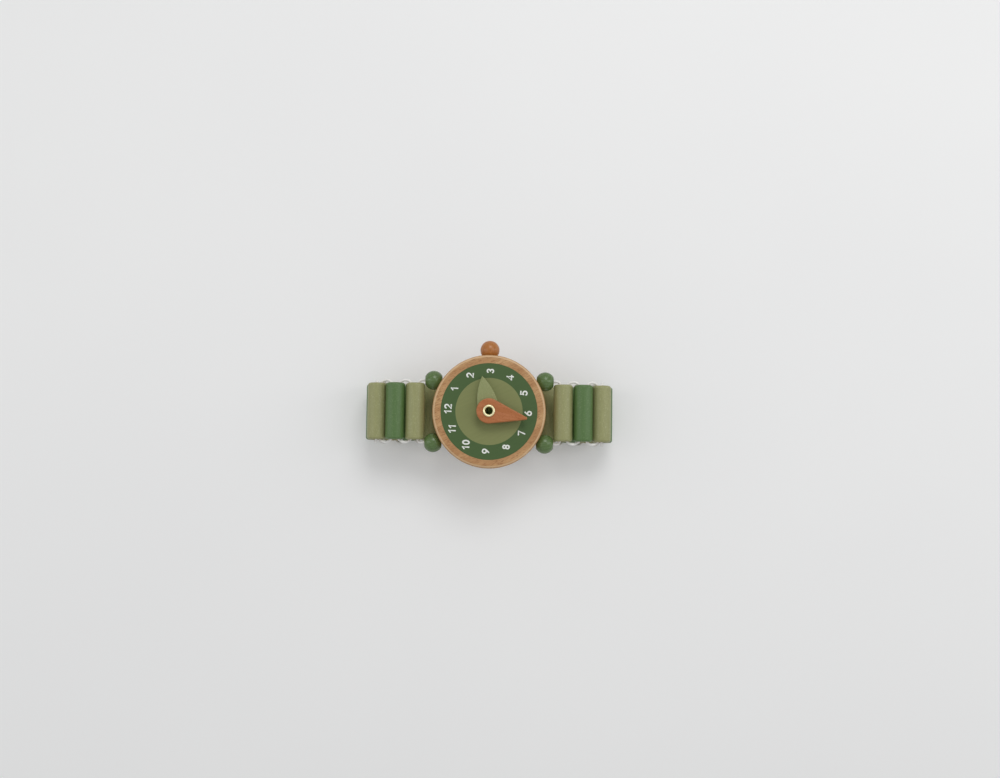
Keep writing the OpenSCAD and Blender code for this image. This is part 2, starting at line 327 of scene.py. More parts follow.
# %% Painted finish
def painted_wood(name, colours, streak_mm, turn, bare=True, roughness=0.4):
    """Satin paint in three tones, coat, streak and speck; bare beech where the paint attribute is low."""
    finish, tree, shader = new_finish(name)
    streaks = grain_field(tree, streak_mm, turn, 3.0)
    tone = linear(colours[0])
    for field, low, high, colour in (
        (streaks, 0.36, 0.66, colours[1]),
        (grain_field(tree, (0.4, 0.4, 0.4), turn, 1.0), 0.57, 0.74, colours[2]),
    ):
        patch = add(tree, "ShaderNodeMapRange", {"Value": field, "From Min": low, "From Max": high})
        layer = add(
            tree, "ShaderNodeMix", {MIX_SHARE: patch.outputs["Result"], MIX_A: tone, MIX_B: linear(colour)},
            data_type="RGBA",
        )
        tone = layer.outputs[MIX_OUT]
    if bare:
        coat = add(tree, "ShaderNodeAttribute", attribute_name="paint").outputs["Fac"]
        chips = grain_field(tree, (0.9, 0.9, 0.9), turn)
        worn = add(tree, "ShaderNodeMath", {0: chips, 1: 0.5, 2: coat}, operation="MULTIPLY_ADD")
        cover = add(
            tree, "ShaderNodeMapRange", {"Value": worn.outputs[0], "From Min": 0.55, "From Max": 0.95}
        )
        layer = add(
            tree, "ShaderNodeMix",
            {MIX_SHARE: cover.outputs["Result"], MIX_A: bare_beech(tree, turn), MIX_B: tone},
            data_type="RGBA",
        )
        tone = layer.outputs[MIX_OUT]
    tree.links.new(tone, shader.inputs["Base Color"])
    gloss = add(
        tree, "ShaderNodeMapRange", {"Value": streaks, "To Min": roughness - 0.06, "To Max": roughness + 0.1}
    )
    tree.links.new(gloss.outputs["Result"], shader.inputs["Roughness"])
    shader.inputs["IOR"].default_value = 1.5
    ripple = add(tree, "ShaderNodeBump", {"Height": streaks, "Distance": 0.03 * MM, "Strength": 0.25})
    tree.links.new(ripple.outputs["Normal"], shader.inputs["Normal"])
    return finish


ALONG_Y = (0, 0, math.radians(90))
ROD_STREAK_MM = (2.6, 0.5, 0.5)
SAGE = ("#949564", "#9a9b69", "#abab7f")
GREEN = ("#51703b", "#567540", "#698651")
sage_rod = painted_wood("sage_paint_on_turned_beech", SAGE, ROD_STREAK_MM, ALONG_Y)
green_rod = painted_wood("green_paint_on_turned_beech", GREEN, ROD_STREAK_MM, ALONG_Y)
green_ball = painted_wood(
    "green_paint_on_beech_ball", ("#546c3a", "#5b7643", "#67824f"), (2.2, 0.6, 0.6), (0, 0, 0), roughness=0.24
)
orange_ball = painted_wood(
    "orange_stain_on_beech_ball", ("#ab692c", "#b8773b", "#a0602a"), (3.5, 0.5, 0.5), ALONG_Y, roughness=0.28
)
print("paints ready:", [m.name for m in bpy.data.materials if "paint" in m.name])

# %% [markdown]
# ## A lathe made of Geometry Nodes
# Rods, beads, crown and eyelet are all turned: one outline, swung round an axis. So one node tree serves
# them all. Its input is a mesh of points along the half outline, with the distance from the axis in X and
# the place along the axis in Z. The tree lays out a grid with one row for each outline point, looks up
# the point for each row, and swings it by the column's share of a full turn. Merging the doubles closes
# the seam. The last two inputs turn the axis and put the piece in its place.


# %% Helpers that build and run a tree
def new_tree(name, inputs):
    """A geometry tree with these named inputs, and the sockets that bring them in."""
    tree = bpy.data.node_groups.new(name, "GeometryNodeTree")
    tree.interface.new_socket("Geometry", in_out="OUTPUT", socket_type="NodeSocketGeometry")
    tree.interface.new_socket("Geometry", in_out="INPUT", socket_type="NodeSocketGeometry")
    for label, kind in inputs:
        tree.interface.new_socket(label, in_out="INPUT", socket_type=kind)
    return tree, add(tree, "NodeGroupInput").outputs


def close_tree(tree, geometry, finish):
    """Ends a tree: real geometry, smooth, in its material."""
    real = add(tree, "GeometryNodeRealizeInstances", {"Geometry": geometry})
    smooth = add(tree, "GeometryNodeSetShadeSmooth", {"Geometry": real.outputs["Geometry"]})
    dressed = add(
        tree, "GeometryNodeSetMaterial", {"Geometry": smooth.outputs["Geometry"], "Material": finish}
    )
    add(tree, "NodeGroupOutput", {"Geometry": dressed.outputs["Geometry"]})


def new_piece(name, mesh, body, slot, *nodes):
    """A finished mesh as a piece that rides on a body and stands for these nodes."""
    piece = bpy.data.objects.new(name, mesh)
    scene.collection.objects.link(piece)
    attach(piece, body)
    if nodes:
        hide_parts(*nodes)
    return piece


def outward(mesh):
    """Merges doubles and turns the faces of a closed shape outwards."""
    work = bmesh.new()
    work.from_mesh(mesh)
    bmesh.ops.remove_doubles(work, verts=work.verts, dist=1e-7)
    bmesh.ops.recalc_face_normals(work, faces=work.faces)
    work.to_mesh(mesh)
    work.free()
    return mesh


def grown(name, tree, points, edges, values, paint=None):
    """Runs a tree on a mesh of points and edges, and gives the result as a plain mesh."""
    seed = bpy.data.meshes.new(name)
    seed.from_pydata(points, edges, [])
    if paint:
        seed.attributes.new("paint", "FLOAT", "POINT").data.foreach_set("value", paint)
    host = bpy.data.objects.new(name + "_seed", seed)
    scene.collection.objects.link(host)
    modifier = host.modifiers.new("shape", "NODES")
    modifier.node_group = tree
    for item in tree.interface.items_tree:
        if item.in_out == "INPUT" and item.name in values:
            modifier[item.identifier] = values[item.name]
    graph = bpy.context.evaluated_depsgraph_get()
    mesh = bpy.data.meshes.new_from_object(host.evaluated_get(graph), depsgraph=graph)
    mesh.name = name
    bpy.data.objects.remove(host)
    return outward(mesh)


# %% The lathe
lathe, given = new_tree(
    "lathe",
    [("Sides", "NodeSocketInt"), ("Turn", "NodeSocketVector"), ("Place", "NodeSocketVector"),
     ("Finish", "NodeSocketMaterial")],
)
outline_size = add(lathe, "GeometryNodeAttributeDomainSize", {"Geometry": given["Geometry"]})
columns = add(lathe, "ShaderNodeMath", {0: given["Sides"], 1: 1.0}, operation="ADD").outputs[0]
grid = add(
    lathe, "GeometryNodeMeshGrid",
    {"Vertices X": outline_size.outputs["Point Count"], "Vertices Y": columns},
)
index = add(lathe, "GeometryNodeInputIndex").outputs["Index"]
row_share = add(lathe, "ShaderNodeMath", {0: index, 1: columns}, operation="DIVIDE").outputs[0]
row = add(lathe, "ShaderNodeMath", {0: row_share}, operation="FLOOR").outputs[0]
column = add(lathe, "ShaderNodeMath", {0: index, 1: columns}, operation="MODULO").outputs[0]
share = add(lathe, "ShaderNodeMath", {0: column, 1: given["Sides"]}, operation="DIVIDE").outputs[0]
swing = add(lathe, "ShaderNodeMath", {0: share, 1: math.tau}, operation="MULTIPLY").outputs[0]
where = add(lathe, "GeometryNodeInputPosition").outputs["Position"]
coat = add(lathe, "GeometryNodeInputNamedAttribute", {"Name": "paint"}, data_type="FLOAT")
outline_at = add(
    lathe, "GeometryNodeSampleIndex", {"Geometry": given["Geometry"], "Value": where, "Index": row},
    data_type="FLOAT_VECTOR", domain="POINT",
).outputs["Value"]
coat_at = add(
    lathe, "GeometryNodeSampleIndex",
    {"Geometry": given["Geometry"], "Value": coat.outputs["Attribute"], "Index": row},
    data_type="FLOAT", domain="POINT",
).outputs["Value"]
swung = add(
    lathe, "ShaderNodeVectorRotate", {"Vector": outline_at, "Angle": swing}, rotation_type="Z_AXIS"
).outputs["Vector"]
shaped = add(lathe, "GeometryNodeSetPosition", {"Geometry": grid.outputs["Mesh"], "Position": swung})
coated = add(
    lathe, "GeometryNodeStoreNamedAttribute",
    {"Geometry": shaped.outputs["Geometry"], "Name": "paint", "Value": coat_at},
    data_type="FLOAT", domain="POINT",
)
mapped = add(
    lathe, "GeometryNodeStoreNamedAttribute",
    {"Geometry": coated.outputs["Geometry"], "Name": "UVMap", "Value": grid.outputs["UV Map"]},
    data_type="FLOAT2", domain="CORNER",
)
closed = add(lathe, "GeometryNodeMergeByDistance", {"Geometry": mapped.outputs["Geometry"], "Distance": 1e-7})
placed = add(
    lathe, "GeometryNodeTransform",
    {"Geometry": closed.outputs["Geometry"], "Translation": given["Place"], "Rotation": given["Turn"]},
)
close_tree(lathe, placed.outputs["Geometry"], given["Finish"])
print("lathe has", len(lathe.nodes), "nodes")


# %% Turned pieces from an outline
def arc(centre, radius, start, end, steps):
    """Points of an arc in degrees, both ends included."""
    turns = [math.radians(start + (end - start) * k / steps) for k in range(steps + 1)]
    return [(centre[0] + radius * math.cos(t), centre[1] + radius * math.sin(t)) for t in turns]


def turned(name, outline, paint, axis_turn, place, finish, sides=64):
    """A closed outline in mm, swung round the axis."""
    points = [(r * MM, 0, h * MM) for r, h in outline + outline[:1]]
    edges = [(k, k + 1) for k in range(len(points) - 1)]
    values = {"Sides": sides, "Turn": axis_turn, "Place": place, "Finish": finish}
    return grown(name, lathe, points, edges, values, paint + paint[:1])


AXIS_ON_X = (0, math.radians(90), 0)
AXIS_ON_Y = (math.radians(-90), 0, 0)

# %% [markdown]
# ## The bracelet's rods
# Each rod is a short turned dowel with eased ends, bored through and coned at the mouths so that the
# elastic doesn't chafe. The paint covers the outside, thins at the rounded ends, and stops just inside
# the bore.

# %% Rods
ROD_R = 3.4
ROD_HALF = 10.1
ROD_EDGE = 0.9
BORE_R = 1.55
MOUTH_R = 2.306
MOUTH_START = 8.475
ROD_COUNT = 19
MIDDLE = 10


def middle_of(node):
    low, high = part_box(node)
    return (low + high) / 2


def rod_outline():
    """Outline of a rod from the middle of its bore round the outside, and the paint at each point."""
    end = arc((ROD_R - ROD_EDGE, ROD_HALF - ROD_EDGE), ROD_EDGE, 90, 0, 8)
    upper = [(BORE_R, 0), (BORE_R, MOUTH_START), ((BORE_R + MOUTH_R) / 2, (MOUTH_START + ROD_HALF) / 2),
             (MOUTH_R, ROD_HALF)] + end
    coat = [0.0, 0.0, 0.35, 0.6] + [0.62, 0.66, 0.7, 0.76, 0.82, 0.88, 0.94, 1.0, 1.0]
    wall = [(ROD_R, h) for h in (6.0, 2.0)]
    half = upper + wall
    half_coat = coat + [1.0, 1.0]
    lower = [(r, -h) for r, h in reversed(half[1:])]
    return half + lower, half_coat + list(reversed(half_coat[1:]))


outline, coat_list = rod_outline()
for i in range(1, ROD_COUNT + 1):
    rod = f"strap_rod_{i:02d}"
    finish = sage_rod if i % 2 else green_rod
    mesh = turned(f"rod_{i:02d}", outline, coat_list, AXIS_ON_Y, middle_of(rod), finish, 56)
    new_piece(f"rod_{i:02d}", mesh, f"link_{i:02d}", "sage_paint" if i % 2 else "green_paint", rod)
print(ROD_COUNT, "rods of", len(mesh.polygons), "faces")

# %% [markdown]
# ## Beads and crown
# The four beads at the corners of the case are ball beads with a hole, flat where the drill went in. The
# crown is a ball with one flat, glued to the case over a dowel.

# %% Beads and crown
BEAD_R = 3.4
BEAD_HALF = 3.0
BEAD_BORE_R = 0.9
CROWN_R = 3.4
CROWN_RISE = 2.5
PEG_HOLE_R = 1.28
PEG_HOLE_DEPTH = 3.3

flat_turn = math.degrees(math.asin(BEAD_HALF / BEAD_R))
ball = arc((0, 0), BEAD_R, -flat_turn, flat_turn, 32)
outline = [(BEAD_BORE_R, -BEAD_HALF)] + ball + [(BEAD_BORE_R, BEAD_HALF), (BEAD_BORE_R, 0)]
coat_list = [0.5] + [0.8] + [1.0] * (len(ball) - 2) + [0.8] + [0.5, 0.0]
for k in range(1, 5):
    bead = f"lug_bead_{k}"
    mesh = turned(f"bead_{k}", outline, coat_list, AXIS_ON_X, middle_of(bead), green_ball)
    new_piece(f"bead_{k}", mesh, bead, "green_paint", bead)

crown_low, crown_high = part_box("crown_ball")
crown_seat = Vector((0, crown_low.y, (crown_low.z + crown_high.z) / 2))
seat_turn = -math.degrees(math.asin(CROWN_RISE / CROWN_R))
ball = arc((0, CROWN_RISE), CROWN_R, seat_turn, 90, 36)
outline = [(PEG_HOLE_R, 0)] + ball[:-1] + [(0, CROWN_RISE + CROWN_R)]
outline += [(0, PEG_HOLE_DEPTH), (PEG_HOLE_R, PEG_HOLE_DEPTH)]
coat_list = [0.0, 0.7] + [1.0] * (len(ball) - 2) + [1.0, 0.0, 0.0]
mesh = turned("crown", outline, coat_list, AXIS_ON_Y, crown_seat, orange_ball)
new_piece("crown", mesh, "case", "orange_paint", "crown_ball")
print("beads and crown turned, crown reaches", round(crown_high.y / MM, 2), "mm")

# %% [markdown]
# ## Brass eyelet
# The hands turn on a hollow rivet of thin brass, rolled over at both ends. Stamped and tumbled brass is
# bright but not a mirror: a fine grain of scratches softens what it reflects.

# %% Brass finish, eyelet and washer
brass, tree, shader = new_finish("tumbled_brass")
wear = grain_field(tree, (0.5, 0.5, 0.5), (0, 0, 0), 4.0)
tone = add(
    tree, "ShaderNodeMix", {MIX_SHARE: wear, MIX_A: linear("#f0e4a0"), MIX_B: linear("#fffadb")},
    data_type="RGBA",
)
tree.links.new(tone.outputs[MIX_OUT], shader.inputs["Base Color"])
shader.inputs["Metallic"].default_value = 1.0
gloss = add(tree, "ShaderNodeMapRange", {"Value": wear, "To Min": 0.28, "To Max": 0.45})
tree.links.new(gloss.outputs["Result"], shader.inputs["Roughness"])
scratches = add(tree, "ShaderNodeBump", {"Height": wear, "Distance": 0.01 * MM, "Strength": 0.2})
tree.links.new(scratches.outputs["Normal"], shader.inputs["Normal"])

EYELET_BORE_R = 1.3
EYELET_WALL = 0.3
RIM_R = 0.425
eyelet_low, eyelet_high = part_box("hand_eyelet")
front_z = eyelet_high.z / MM - RIM_R
back_z = eyelet_low.z / MM + RIM_R
rim_mid = EYELET_BORE_R + RIM_R
outer = EYELET_BORE_R + EYELET_WALL
outline = [(outer, back_z), (outer, front_z), (rim_mid + RIM_R, front_z)]
outline += arc((rim_mid, front_z), RIM_R, 0, 180, 16)[1:]
outline += [(EYELET_BORE_R, back_z)]
outline += arc((rim_mid, back_z), RIM_R, 180, 360, 16)[1:]
mesh = turned("eyelet", outline, [1.0] * len(outline), (0, 0, 0), Vector(), brass)
new_piece("eyelet", mesh, "case", "brass", "hand_eyelet")
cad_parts["back_washer"].data.materials.clear()
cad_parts["back_washer"].data.materials.append(brass)
print("eyelet is", round(front_z - back_z + 2 * RIM_R, 2), "mm long")

# %% [markdown]
# ## Elastic cord
# White braided elastic laces the rods. It runs through every rod twice, crosses over inside, and turns
# round from rod to rod in small loops at both ends, the only places where it shows. A path and a round
# section make a cord, so the tree turns the edges of a mesh into curves and sweeps a circle along them.
# It also stores how far along and how far round each point is, so that the braid follows the cord.

# %% Braided finish
# plait spacing is drawn twice as coarse as real braid, which would be too fine to show
PLAIT_MM = 0.55
PLAITS_ROUND = 4
elastic, tree, shader = new_finish("braided_elastic")
lay = add(tree, "ShaderNodeUVMap", uv_map="UVMap").outputs["UV"]
split = add(tree, "ShaderNodeSeparateXYZ", {"Vector": lay})
long_turn = math.tau / (PLAIT_MM * MM)
round_turn = math.tau * PLAITS_ROUND
along = add(tree, "ShaderNodeMath", {0: split.outputs["X"], 1: long_turn}, operation="MULTIPLY")
round_it = add(tree, "ShaderNodeMath", {0: split.outputs["Y"], 1: round_turn}, operation="MULTIPLY")
strands = []
for way in ("ADD", "SUBTRACT"):
    phase = add(tree, "ShaderNodeMath", {0: along.outputs[0], 1: round_it.outputs[0]}, operation=way)
    strands.append(add(tree, "ShaderNodeMath", {0: phase.outputs[0]}, operation="SINE").outputs[0])
plait = add(tree, "ShaderNodeMath", {0: strands[0], 1: strands[1]}, operation="MULTIPLY").outputs[0]
raised = add(
    tree, "ShaderNodeMapRange", {"Value": plait, "From Min": -0.6, "From Max": 0.6}
).outputs["Result"]
# the plaits are painted darker in their grooves than on the raised strands: painted shade in the grooves
tone = add(
    tree, "ShaderNodeMix", {MIX_SHARE: raised, MIX_A: linear("#eae8e2"), MIX_B: linear("#fbfaf7")},
    data_type="RGBA",
)
tree.links.new(tone.outputs[MIX_OUT], shader.inputs["Base Color"])
shader.inputs["Roughness"].default_value = 0.8
shader.inputs["Sheen Weight"].default_value = 0.3
braid = add(tree, "ShaderNodeBump", {"Height": raised, "Distance": 0.04 * MM, "Strength": 0.5})
tree.links.new(braid.outputs["Normal"], shader.inputs["Normal"])

# %% The cord tree
CORD_SIDES = 12
cord, given = new_tree(
    "cord", [("Radius", "NodeSocketFloat"), ("Step", "NodeSocketFloat"), ("Finish", "NodeSocketMaterial")]
)
path = add(cord, "GeometryNodeMeshToCurve", {"Mesh": given["Geometry"]})
even = add(
    cord, "GeometryNodeResampleCurve", {"Curve": path.outputs["Curve"], "Length": given["Step"]},
    mode="LENGTH",
)
length = add(cord, "GeometryNodeSplineParameter").outputs["Length"]
marked = add(
    cord, "GeometryNodeStoreNamedAttribute",
    {"Geometry": even.outputs["Curve"], "Name": "along", "Value": length}, data_type="FLOAT", domain="POINT",
)
ring = add(
    cord, "GeometryNodeCurveArc",
    {"Resolution": CORD_SIDES + 1, "Radius": given["Radius"], "Start Angle": 0.0, "Sweep Angle": math.tau},
    mode="RADIUS",
)
share = add(cord, "GeometryNodeSplineParameter").outputs["Factor"]
marked_ring = add(
    cord, "GeometryNodeStoreNamedAttribute",
    {"Geometry": ring.outputs["Curve"], "Name": "round", "Value": share}, data_type="FLOAT", domain="POINT",
)
tube = add(
    cord, "GeometryNodeCurveToMesh",
    {"Curve": marked.outputs["Geometry"], "Profile Curve": marked_ring.outputs["Geometry"],
     "Fill Caps": True},
)
reach = add(cord, "GeometryNodeInputNamedAttribute", {"Name": "along"}, data_type="FLOAT")
turn = add(cord, "GeometryNodeInputNamedAttribute", {"Name": "round"}, data_type="FLOAT")
both = add(cord, "ShaderNodeCombineXYZ", {"X": reach.outputs["Attribute"], "Y": turn.outputs["Attribute"]})
laid = add(
    cord, "GeometryNodeStoreNamedAttribute",
    {"Geometry": tube.outputs["Mesh"], "Name": "UVMap", "Value": both.outputs["Vector"]},
    data_type="FLOAT2", domain="CORNER",
)
sealed = add(cord, "GeometryNodeMergeByDistance", {"Geometry": laid.outputs["Geometry"], "Distance": 1e-6})
close_tree(cord, sealed.outputs["Geometry"], given["Finish"])
print("cord tree has", len(cord.nodes), "nodes")

# %% Routes of the elastic
CORD_R = 0.45
STRAND_R = 1.0
PITCH = 7.15
LOOP_R = PITCH / 2 - STRAND_R
CORE_Y = 6.675
CROSS_R = 0.62
LUG_Y = 11.1
BEND_R = 1.4
STEP_MM = 0.22
centres = {i: middle_of(f"strap_rod_{i:02d}") / MM for i in range(1, ROD_COUNT + 1)}
case_way = Vector((1, 0, 0))


def way_between(i, j):
    """Direction from rod i to rod j; the case stands for the rod before the first and after the last."""
    if j < 1:
        return case_way
    if j > ROD_COUNT:
        return -case_way
    return (centres[j] - centres[i]).normalized()


def crossing_routes(i):
    """The two strands in rod i, which change sides and pass each other in the middle."""
    before, after = way_between(i, i - 1), way_between(i, i + 1)
    across = (after - before).normalized()
    aside = Vector((-across.z, 0, across.x)) * CROSS_R
    y = Vector((0, CORE_Y, 0))
    mid = centres[i]
    return [
        [mid + before * STRAND_R + y * s, mid + aside * s, mid + after * STRAND_R - y * s]
        for s in (-1, 1)
    ]


def loop_routes(i):
    """The loops at both ends that lace rod i to the next rod towards the middle of the bracelet."""
    if i == MIDDLE:
        return []
    link = way_between(i, i + 1 if i < MIDDLE else i - 1)
    bend = arc((PITCH / 2, MOUTH_START), LOOP_R, 180, 0, 24)
    loop = [(STRAND_R, CORE_Y)] + bend + [(PITCH - STRAND_R, CORE_Y)]
    return [[centres[i] + link * u + Vector((0, s * v, 0)) for u, v in loop] for s in (-1, 1)]


def case_routes():
    """The cord through the case, round the beads and into the first and last rods."""
    bend_x = centres[ROD_COUNT].x - STRAND_R - BEND_R
    corner = arc((bend_x, LUG_Y - BEND_R), BEND_R, 90, 0, 12)
    half = corner + [(bend_x + BEND_R, CORE_Y)]
    route = [(-x, y) for x, y in reversed(half)] + half
    z = centres[1].z
    return [[Vector((x, s * y, z)) for x, y in route] for s in (-1, 1)]


def laced(name, routes, body, node):
    """One piece of elastic from its routes in mm."""
    points, edges = [], []
    for route in routes:
        edges += [(len(points) + k, len(points) + k + 1) for k in range(len(route) - 1)]
        points += [p * MM for p in route]
    values = {"Radius": CORD_R * MM, "Step": STEP_MM * MM, "Finish": elastic}
    return new_piece(name, grown(name, cord, points, edges, values), body, "elastic", node)


for i in range(1, ROD_COUNT + 1):
    laced(f"lacing_{i:02d}", crossing_routes(i) + loop_routes(i), f"link_{i:02d}", f"elastic_{i:02d}")
case_cord = laced("lacing_case", case_routes(), "case", "elastic_case")
KNOT_R = 0.85
KNOT_HALF = 1.3
KNOT_EDGE = 0.34
knot_round = arc((KNOT_R - KNOT_EDGE, KNOT_HALF - KNOT_EDGE), KNOT_EDGE, 0, 90, 6)
outline = [(0, -KNOT_HALF)] + [(r, -h) for r, h in reversed(knot_round)] + knot_round + [(0, KNOT_HALF)]
knot_at = Vector((0, -LUG_Y, centres[1].z)) * MM
mesh = turned("knot", outline, [1.0] * len(outline), AXIS_ON_X, knot_at, elastic, 24)
new_piece("knot", mesh, "case", "elastic")
print("elastic laced through", ROD_COUNT, "rods, last piece has", len(case_cord.data.polygons), "faces")

# %% [markdown]
# ## The printed dial
# The dial is printed on the face of the case in two flat greens, a dark ring for the numbers and a
# lighter middle. The two fields are separate faces of one thin disc, so that their border is crisp at any
# distance. The ink is thin enough to show the grain of the wood under it.


# %% Dial
def printed(name, colour, streak):
    """Screen ink on sanded beech: flat, matt, with a trace of grain."""
    finish, tree, shader = new_finish(name)
    streaks = grain_field(tree, (7.0, 0.6, 2.0), case_turn, 3.0)
    tone = add(
        tree, "ShaderNodeMix", {MIX_SHARE: streaks, MIX_A: linear(colour), MIX_B: linear(streak)},
        data_type="RGBA",
    )
    tree.links.new(tone.outputs[MIX_OUT], shader.inputs["Base Color"])
    gloss = add(tree, "ShaderNodeMapRange", {"Value": streaks, "To Min": 0.5, "To Max": 0.6})
    tree.links.new(gloss.outputs["Result"], shader.inputs["Roughness"])
    shader.inputs["IOR"].default_value = 1.48
    fibres = grain_field(tree, (2.0, 0.3, 1.0), case_turn)
    ripple = add(tree, "ShaderNodeBump", {"Height": fibres, "Distance": 0.015 * MM, "Strength": 0.3})
    tree.links.new(ripple.outputs["Normal"], shader.inputs["Normal"])
    return finish


ring_ink = printed("dark_green_screen_ink", "#3f5929", "#466030")
middle_ink = printed("light_green_screen_ink", "#7a804c", "#848955")
DIAL_R = 17.0
MIDDLE_R = 11.8
HOLE_R = 1.66
DIAL_SIDES = 160
dial_low, dial_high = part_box("dial_face")
work = bmesh.new()
loops = []
for radius, z in ((HOLE_R, dial_low.z), (HOLE_R, dial_high.z), (MIDDLE_R, dial_high.z), (DIAL_R, dial_high.z),
                  (DIAL_R, dial_low.z)):
    turns = [math.tau * k / DIAL_SIDES for k in range(DIAL_SIDES)]
    loops.append([work.verts.new((radius * MM * math.cos(t), radius * MM * math.sin(t), z)) for t in turns])
for part in range(len(loops)):
    inner, outer_loop = loops[part], loops[(part + 1) % len(loops)]
    for k in range(DIAL_SIDES):
        n = (k + 1) % DIAL_SIDES
        face = work.faces.new((inner[k], outer_loop[k], outer_loop[n], inner[n]))
        face.material_index = 0 if part == 1 else 1
bmesh.ops.recalc_face_normals(work, faces=work.faces)
mesh = bpy.data.meshes.new("dial_print")
work.to_mesh(mesh)
work.free()
mesh.materials.append(middle_ink)
mesh.materials.append(ring_ink)
new_piece("dial_print", mesh, "case", "printed_dial", "dial_face")
print("dial print is", 2 * DIAL_R, "mm across")

# %% [markdown]
# ## Numbers
# The numbers one to twelve stand round the ring, all the same way up, with their tops towards twelve
# o'clock. They are plain, bold and round at their ends, as if written with a felt pen, so each figure is
# given as the path of a pen. The tree sweeps a round pen along the paths and puts a dab wherever a path
# ends or turns a corner. Then it presses all of it flat, into a film of white ink. White is the last
# screen of the print, and it sits a little off the greens.

# %% White ink
white_ink, tree, shader = new_finish("white_screen_ink")
film = grain_field(tree, (0.6, 0.3, 0.5), case_turn, 3.0)
tone = add(
    tree, "ShaderNodeMix", {MIX_SHARE: film, MIX_A: linear("#fbfbf7"), MIX_B: linear("#e3e6de")},
    data_type="RGBA",
)
tree.links.new(tone.outputs[MIX_OUT], shader.inputs["Base Color"])
shader.inputs["Roughness"].default_value = 0.5
shader.inputs["IOR"].default_value = 1.48

# %% The pen tree
NIB_SIDES = 12
pen, given = new_tree(
    "pen", [("Radius", "NodeSocketFloat"), ("Flatten", "NodeSocketVector"), ("Place", "NodeSocketVector"),
            ("Finish", "NodeSocketMaterial")],
)
path = add(pen, "GeometryNodeMeshToCurve", {"Mesh": given["Geometry"]})
nib = add(pen, "GeometryNodeCurvePrimitiveCircle", {"Resolution": NIB_SIDES, "Radius": given["Radius"]})
line = add(
    pen, "GeometryNodeCurveToMesh",
    {"Curve": path.outputs["Curve"], "Profile Curve": nib.outputs["Curve"], "Fill Caps": True},
)
dab = add(
    pen, "GeometryNodeMeshUVSphere",
    {"Segments": NIB_SIDES, "Rings": NIB_SIDES // 2, "Radius": given["Radius"]},
)
corner = add(pen, "GeometryNodeInputNamedAttribute", {"Name": "paint"}, data_type="FLOAT")
dabs = add(
    pen, "GeometryNodeInstanceOnPoints",
    {"Points": given["Geometry"], "Selection": corner.outputs["Attribute"], "Instance": dab.outputs["Mesh"]},
)
written = add(pen, "GeometryNodeJoinGeometry", {"Geometry": line.outputs["Mesh"]})
pen.links.new(dabs.outputs["Instances"], written.inputs["Geometry"])
pressed = add(
    pen, "GeometryNodeTransform",
    {"Geometry": written.outputs["Geometry"], "Scale": given["Flatten"], "Translation": given["Place"]},
)
close_tree(pen, pressed.outputs["Geometry"], given["Finish"])
print("pen tree has", len(pen.nodes), "nodes")

# %% Paths of the figures
# in a box one unit high: a figure's width, then its paths, each a list of points
six = [arc((0.3, 0.3), 0.3, 0, 360, 20), [(0.46, 1.0), (0.2, 0.7), (0.03, 0.43)]]
FIGURES = {
    "0": (0.56, [[(0.28 + 0.28 * x, 0.5 + 0.5 * y) for x, y in arc((0, 0), 1, 0, 360, 24)]]),
    "1": (0.26, [[(0.0, 0.76), (0.26, 1.0), (0.26, 0.0)]]),
    "2": (0.58, [arc((0.29, 0.71), 0.29, 160, -40, 12) + [(0.0, 0.0), (0.58, 0.0)]]),
    "3": (0.53, [arc((0.27, 0.755), 0.245, 150, -90, 12)[:-1] + arc((0.27, 0.255), 0.255, 90, -150, 12)]),
    "4": (0.68, [[(0.5, 0.0), (0.5, 1.0), (0.0, 0.27), (0.68, 0.27)]]),
    "5": (0.59, [[(0.54, 1.0), (0.1, 1.0), (0.05, 0.55)] + arc((0.27, 0.32), 0.32, 130, -145, 14)]),
    "6": (0.6, six),
    "7": (0.58, [[(0.0, 1.0), (0.58, 1.0), (0.2, 0.0)]]),
    "8": (0.56, [arc((0.28, 0.76), 0.24, 0, 360, 18), arc((0.28, 0.26), 0.26, 0, 360, 18)]),
    "9": (0.6, [[(0.6 - x, 1.0 - y) for x, y in stroke] for stroke in six]),
}
SHARP_TURN = math.radians(35)


def is_corner(stroke, k):
    """Whether the pen stops or turns sharply at that point."""
    if k in (0, len(stroke) - 1):
        return True
    before, here, after = (Vector(stroke[j]) for j in (k - 1, k, k + 1))
    return (here - before).angle(after - here) > SHARP_TURN


# %% Numbers
NUMBER_RING = 14.1
NUMBER_H = 2.75
PEN_R = 0.28
LETTER_GAP = 0.48
INK_T = 0.03
INK_SUNK = 0.01
PRINT_TURN = math.radians(-2.6)
PRINT_SHIFT = Vector((-0.35, 0.12))

points, edges, dabbed = [], [], []
unit = NUMBER_H - 2 * PEN_R
for hour in range(1, 13):
    width = sum(FIGURES[f][0] for f in str(hour)) + LETTER_GAP * (len(str(hour)) - 1)
    angle = math.pi - hour * math.tau / 12 + PRINT_TURN
    centre = Vector((math.cos(angle), math.sin(angle))) * NUMBER_RING + PRINT_SHIFT
    start = -width / 2
    for f in str(hour):
        for stroke in FIGURES[f][1]:
            edges += [(len(points) + k, len(points) + k + 1) for k in range(len(stroke) - 1)]
            for k, (x, y) in enumerate(stroke):
                spot = Vector((start + x, y - 0.5)) * unit
                spot.rotate(Matrix.Rotation(math.pi / 2 + PRINT_TURN, 2))
                points.append(((centre + spot) * MM).to_3d())
                dabbed.append(1.0 if is_corner(stroke, k) else 0.0)
        start += FIGURES[f][0] + LETTER_GAP
values = {
    "Radius": PEN_R * MM, "Flatten": (1, 1, INK_T / PEN_R), "Place": (0, 0, case_top - INK_SUNK * MM),
    "Finish": white_ink,
}
mesh = grown("dial_numbers", pen, points, edges, values, dabbed)
new_piece("dial_numbers", mesh, "case", "printed_dial")
print("numbers have", len(mesh.polygons), "faces")

